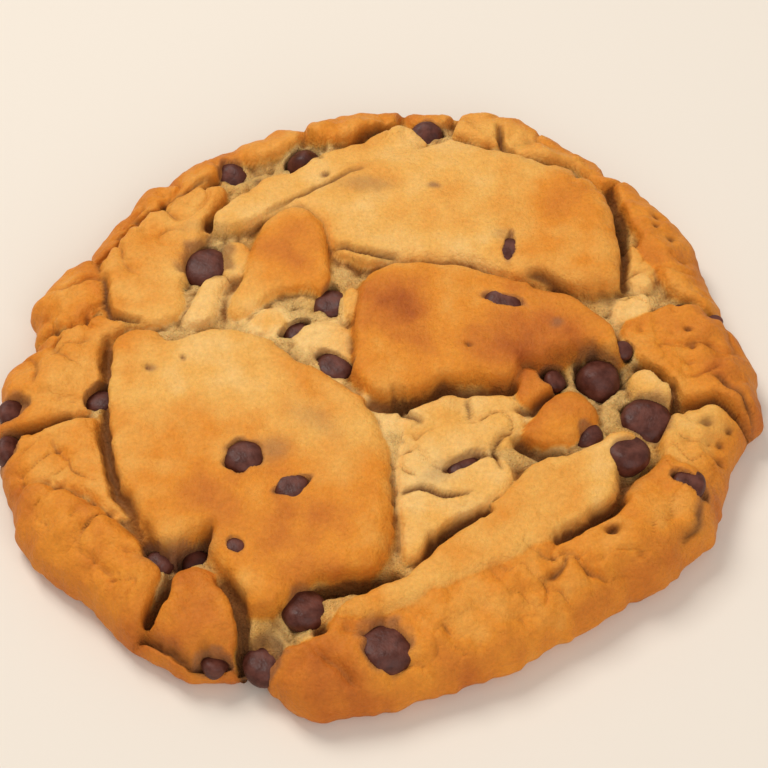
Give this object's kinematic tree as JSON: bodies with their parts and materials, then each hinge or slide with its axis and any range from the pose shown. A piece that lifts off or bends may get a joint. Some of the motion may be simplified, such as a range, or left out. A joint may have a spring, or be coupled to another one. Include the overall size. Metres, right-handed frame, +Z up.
{
  "type": "chocolate chip cookie",
  "caption": "Large round bakery cookie with a cracked golden-brown top of raised crust plates and dark chocolate chips set into the dough, flat underneath.",
  "frame": {"origin": "centre of the flat base, on the surface the cookie rests on", "axes": "+Z up out of the crust; -Y toward the viewer's side, +X to the right from there"},
  "size_m": [0.115, 0.1111, 0.0161],
  "materials": {
    "dough": "baked cookie dough, golden to orange-brown crust with paler crumb in the cracks",
    "chocolate": "dark chocolate with a dull satin sheen"
  },
  "bodies": {
    "root": {"dough": "dough", "chip_01": "chocolate", "chip_02": "chocolate", "chip_03": "chocolate", "chip_04": "chocolate", "chip_05": "chocolate", "chip_06": "chocolate", "chip_07": "chocolate", "chip_08": "chocolate", "chip_09": "chocolate", "chip_10": "chocolate", "chip_11": "chocolate", "chip_12": "chocolate", "chip_13": "chocolate", "chip_14": "chocolate", "chip_15": "chocolate", "chip_16": "chocolate", "chip_17": "chocolate", "chip_18": "chocolate", "chip_19": "chocolate", "chip_20": "chocolate", "chip_21": "chocolate", "chip_22": "chocolate", "chip_23": "chocolate", "chip_24": "chocolate", "chip_25": "chocolate", "chip_26": "chocolate", "chip_27": "chocolate", "chip_28": "chocolate", "chip_29": "chocolate", "chip_30": "chocolate", "chip_31": "chocolate"}
  },
  "joints": []
}
